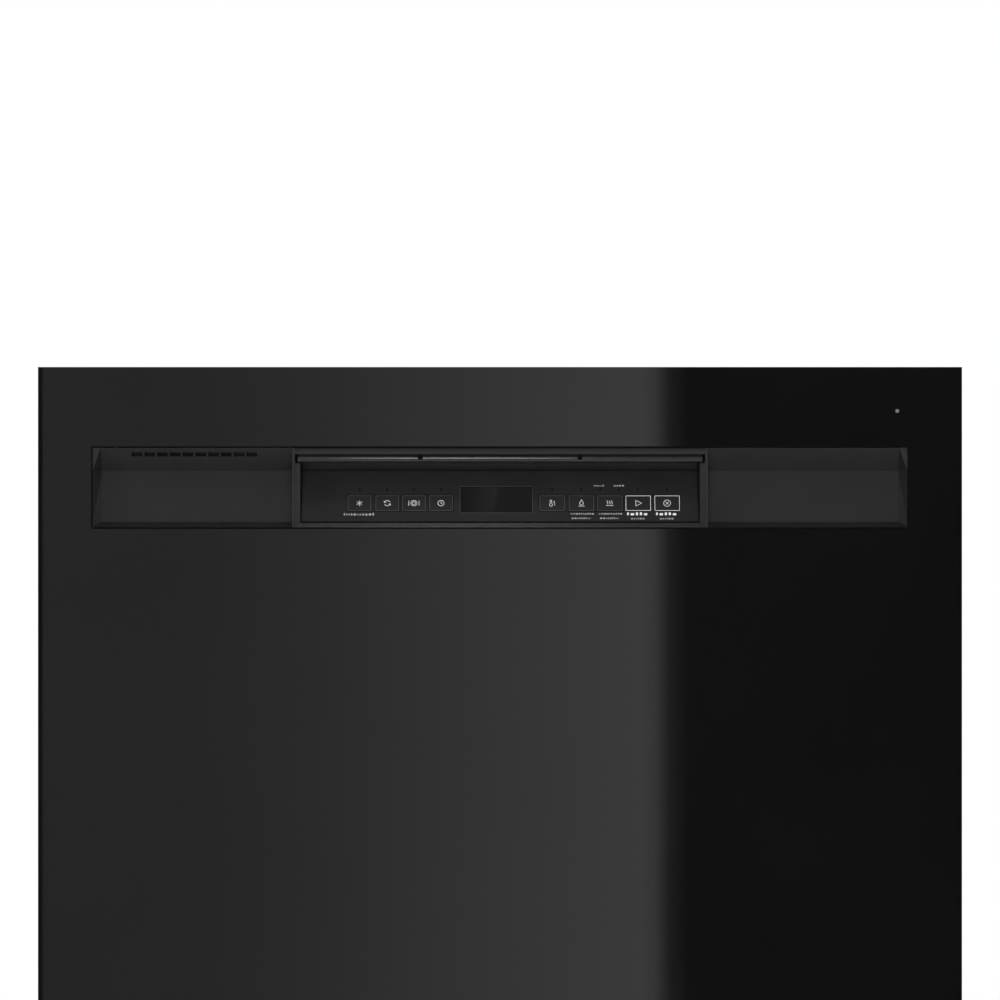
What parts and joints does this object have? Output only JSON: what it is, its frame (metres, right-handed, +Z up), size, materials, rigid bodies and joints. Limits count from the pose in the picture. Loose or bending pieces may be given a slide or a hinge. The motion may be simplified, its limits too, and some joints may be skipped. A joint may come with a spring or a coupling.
{
  "type": "built in dishwasher",
  "caption": "Built-in dishwasher with a gloss black drop-down door, recessed front console with pocket handle and keys, steel tub, sliding racks, wash arms and levelling legs.",
  "frame": {"origin": "on the floor, in the middle of the footprint", "axes": "+Z up, the door faces -Y, +X to the right as seen from the front"},
  "size_m": [0.606, 0.622, 0.861],
  "materials": {
    "door_gloss": "deep gloss black",
    "console_black": "satin black moulded plastic",
    "key_black": "satin black with light pictograms",
    "window_smoke": "gloss smoked black",
    "circuit_board": "green solder mask",
    "stainless": "satin stainless",
    "zinc_steel": "zinc plated",
    "rack_nylon": "grey nylon-coated wire",
    "grey_plastic": "moulded grey",
    "dark_plastic": "moulded dark grey",
    "seal_rubber": "matt black",
    "blanket_felt": "dark felted wadding",
    "heater_metal": "oxidised sheath",
    "valve_white": "off-white"
  },
  "bodies": {
    "cabinet": {"tub": "stainless", "tub_gasket": "seal_rubber", "insulation_blanket": "blanket_felt", "base_pan": "dark_plastic", "side_rail_left": "zinc_steel", "side_rail_right": "zinc_steel", "access_panel": "console_black", "worktop_bracket_left": "zinc_steel", "worktop_bracket_right": "zinc_steel", "sump": "dark_plastic", "fine_filter": "stainless", "wash_pump": "dark_plastic", "drain_pump": "dark_plastic", "inlet_valve": "valve_white", "heater_element": "heater_metal", "water_feed_tube": "grey_plastic", "upper_rail_left": "zinc_steel", "upper_rail_right": "zinc_steel"},
    "door": {"door_panel": "door_gloss", "console_housing": "console_black", "handle_grip": "console_black", "control_fascia": "console_black", "display_window": "window_smoke", "control_board": "circuit_board", "door_liner": "stainless", "dispenser_body": "grey_plastic", "bottom_seal": "seal_rubber", "hinge_arm_left": "zinc_steel", "hinge_arm_right": "zinc_steel"},
    "latch": {"latch_hook": "zinc_steel"},
    "dispenser_lid": {"dispenser_lid": "grey_plastic"},
    "rinse_cap": {"rinse_cap": "grey_plastic"},
    "twist_filter": {"twist_filter": "dark_plastic"},
    "overfill_float": {"overfill_float": "grey_plastic"},
    "lower_wash_arm": {"lower_wash_arm": "dark_plastic"},
    "rack_slides": {"rack_slide_left": "zinc_steel", "rack_slide_right": "zinc_steel"},
    "upper_rack": {"upper_rack": "rack_nylon"},
    "middle_wash_arm": {"middle_wash_arm": "dark_plastic"},
    "lower_rack": {"lower_rack": "rack_nylon", "fixed_tines": "rack_nylon"},
    "folding_tines": {"folding_tines": "rack_nylon"},
    "cutlery_basket": {"cutlery_basket": "grey_plastic"},
    "key_boost": {"key_boost": "key_black"},
    "key_auto": {"key_auto": "key_black"},
    "key_normal": {"key_normal": "key_black"},
    "key_quick": {"key_quick": "key_black"},
    "key_high_temp": {"key_high_temp": "key_black"},
    "key_rinse": {"key_rinse": "key_black"},
    "key_dry": {"key_dry": "key_black"},
    "key_start": {"key_start": "key_black"},
    "key_cancel": {"key_cancel": "key_black"},
    "levelling_leg_front_left": {"levelling_leg_front_left": "dark_plastic"},
    "levelling_leg_front_right": {"levelling_leg_front_right": "dark_plastic"},
    "levelling_leg_rear_left": {"levelling_leg_rear_left": "dark_plastic"},
    "levelling_leg_rear_right": {"levelling_leg_rear_right": "dark_plastic"},
    "rack_wheel_front_left": {"rack_wheel_front_left": "grey_plastic"},
    "rack_wheel_front_right": {"rack_wheel_front_right": "grey_plastic"},
    "rack_wheel_rear_left": {"rack_wheel_rear_left": "grey_plastic"},
    "rack_wheel_rear_right": {"rack_wheel_rear_right": "grey_plastic"}
  },
  "joints": [
    {"name": "door_hinge", "type": "hinge", "parent": "cabinet", "child": "door", "pos_m": [0, -0.28, 0.13], "axis": [1, 0, 0], "range_deg": [0, 90], "stiffness_Nm_per_rad": 22, "springref_deg": -4.58},
    {"name": "latch_turn", "type": "hinge", "parent": "door", "child": "latch", "pos_m": [0, -0.2755, 0.828], "axis": [1, 0, 0], "range_deg": [-8, 0], "stiffness_Nm_per_rad": 0.4, "springref_deg": 5.73},
    {"name": "dispenser_lid_slide", "type": "slide", "parent": "door", "child": "dispenser_lid", "axis": [-1, 0, 0], "range_m": [0, 0.06]},
    {"name": "rinse_cap_turn", "type": "hinge", "parent": "door", "child": "rinse_cap", "pos_m": [0.05, -0.252, 0.48], "axis": [0, 1, 0], "range_deg": [0, 90]},
    {"name": "twist_filter_turn", "type": "hinge", "parent": "cabinet", "child": "twist_filter", "pos_m": [0.045, 0.034, 0.15], "axis": [0, 0, 1], "range_deg": [0, 90]},
    {"name": "overfill_float_lift", "type": "slide", "parent": "cabinet", "child": "overfill_float", "axis": [0, 0, 1], "range_m": [0, 0.012]},
    {"name": "lower_wash_arm_spin", "type": "hinge", "parent": "cabinet", "child": "lower_wash_arm", "pos_m": [0, 0.02, 0.19], "axis": [0, 0, 1], "continuous": true},
    {"name": "rack_slides_run", "type": "slide", "parent": "cabinet", "child": "rack_slides", "axis": [0, -1, 0], "range_m": [0, 0.236]},
    {"name": "upper_rack_run", "type": "slide", "parent": "rack_slides", "child": "upper_rack", "axis": [0, -1, 0], "range_m": [0, 0.236]},
    {"name": "middle_wash_arm_spin", "type": "hinge", "parent": "upper_rack", "child": "middle_wash_arm", "pos_m": [0, 0.015, 0.518], "axis": [0, 0, 1], "continuous": true},
    {"name": "lower_rack_run", "type": "slide", "parent": "cabinet", "child": "lower_rack", "axis": [0, -1, 0], "range_m": [0, 0.11]},
    {"name": "folding_tines_fold", "type": "hinge", "parent": "lower_rack", "child": "folding_tines", "pos_m": [0.1, -0.07, 0.2235], "axis": [0, 1, 0], "range_deg": [0, 85]},
    {"name": "cutlery_basket_lift", "type": "slide", "parent": "lower_rack", "child": "cutlery_basket", "axis": [0, 0, 1], "range_m": [0, 0.1]},
    {"name": "rack_wheel_front_left_roll", "type": "hinge", "parent": "lower_rack", "child": "rack_wheel_front_left", "pos_m": [-0.2605, -0.185, 0.1785], "axis": [1, 0, 0], "range_deg": [0, 351]},
    {"name": "rack_wheel_rear_left_roll", "type": "hinge", "parent": "lower_rack", "child": "rack_wheel_rear_left", "pos_m": [-0.2605, 0.185, 0.1785], "axis": [1, 0, 0], "range_deg": [0, 351]},
    {"name": "rack_wheel_front_right_roll", "type": "hinge", "parent": "lower_rack", "child": "rack_wheel_front_right", "pos_m": [0.2605, -0.185, 0.1785], "axis": [1, 0, 0], "range_deg": [0, 351]},
    {"name": "rack_wheel_rear_right_roll", "type": "hinge", "parent": "lower_rack", "child": "rack_wheel_rear_right", "pos_m": [0.2605, 0.185, 0.1785], "axis": [1, 0, 0], "range_deg": [0, 351]},
    {"name": "levelling_leg_front_left_turn", "type": "hinge", "parent": "cabinet", "child": "levelling_leg_front_left", "pos_m": [-0.283, -0.205, 0.04], "axis": [0, 0, 1], "continuous": true},
    {"name": "levelling_leg_rear_left_turn", "type": "hinge", "parent": "cabinet", "child": "levelling_leg_rear_left", "pos_m": [-0.283, 0.255, 0.04], "axis": [0, 0, 1], "continuous": true},
    {"name": "levelling_leg_front_right_turn", "type": "hinge", "parent": "cabinet", "child": "levelling_leg_front_right", "pos_m": [0.283, -0.205, 0.04], "axis": [0, 0, 1], "continuous": true},
    {"name": "levelling_leg_rear_right_turn", "type": "hinge", "parent": "cabinet", "child": "levelling_leg_rear_right", "pos_m": [0.283, 0.255, 0.04], "axis": [0, 0, 1], "continuous": true},
    {"name": "key_boost_press", "type": "slide", "parent": "door", "child": "key_boost", "axis": [0, 0.9009, -0.4341], "range_m": [0, 0.0006], "stiffness_N_per_m": 600, "springref_m": -0.0004},
    {"name": "key_auto_press", "type": "slide", "parent": "door", "child": "key_auto", "axis": [0, 0.9009, -0.4341], "range_m": [0, 0.0006], "stiffness_N_per_m": 600, "springref_m": -0.0004},
    {"name": "key_normal_press", "type": "slide", "parent": "door", "child": "key_normal", "axis": [0, 0.9009, -0.4341], "range_m": [0, 0.0006], "stiffness_N_per_m": 600, "springref_m": -0.0004},
    {"name": "key_quick_press", "type": "slide", "parent": "door", "child": "key_quick", "axis": [0, 0.9009, -0.4341], "range_m": [0, 0.0006], "stiffness_N_per_m": 600, "springref_m": -0.0004},
    {"name": "key_high_temp_press", "type": "slide", "parent": "door", "child": "key_high_temp", "axis": [0, 0.9009, -0.4341], "range_m": [0, 0.0006], "stiffness_N_per_m": 600, "springref_m": -0.0004},
    {"name": "key_rinse_press", "type": "slide", "parent": "door", "child": "key_rinse", "axis": [0, 0.9009, -0.4341], "range_m": [0, 0.0006], "stiffness_N_per_m": 600, "springref_m": -0.0004},
    {"name": "key_dry_press", "type": "slide", "parent": "door", "child": "key_dry", "axis": [0, 0.9009, -0.4341], "range_m": [0, 0.0006], "stiffness_N_per_m": 600, "springref_m": -0.0004},
    {"name": "key_start_press", "type": "slide", "parent": "door", "child": "key_start", "axis": [0, 0.9009, -0.4341], "range_m": [0, 0.0006], "stiffness_N_per_m": 600, "springref_m": -0.0004},
    {"name": "key_cancel_press", "type": "slide", "parent": "door", "child": "key_cancel", "axis": [0, 0.9009, -0.4341], "range_m": [0, 0.0006], "stiffness_N_per_m": 600, "springref_m": -0.0004}
  ],
  "couplings": [
    {"joint": "rack_slides_run", "follows": "door_hinge", "m_per_rad": 0.15},
    {"joint": "upper_rack_run", "follows": "door_hinge", "m_per_rad": 0.15},
    {"joint": "lower_rack_run", "follows": "door_hinge", "m_per_rad": 0.07},
    {"joint": "rack_wheel_front_left_roll", "follows": "door_hinge", "ratio": 3.8889},
    {"joint": "rack_wheel_rear_left_roll", "follows": "door_hinge", "ratio": 3.8889},
    {"joint": "rack_wheel_front_right_roll", "follows": "door_hinge", "ratio": 3.8889},
    {"joint": "rack_wheel_rear_right_roll", "follows": "door_hinge", "ratio": 3.8889}
  ]
}
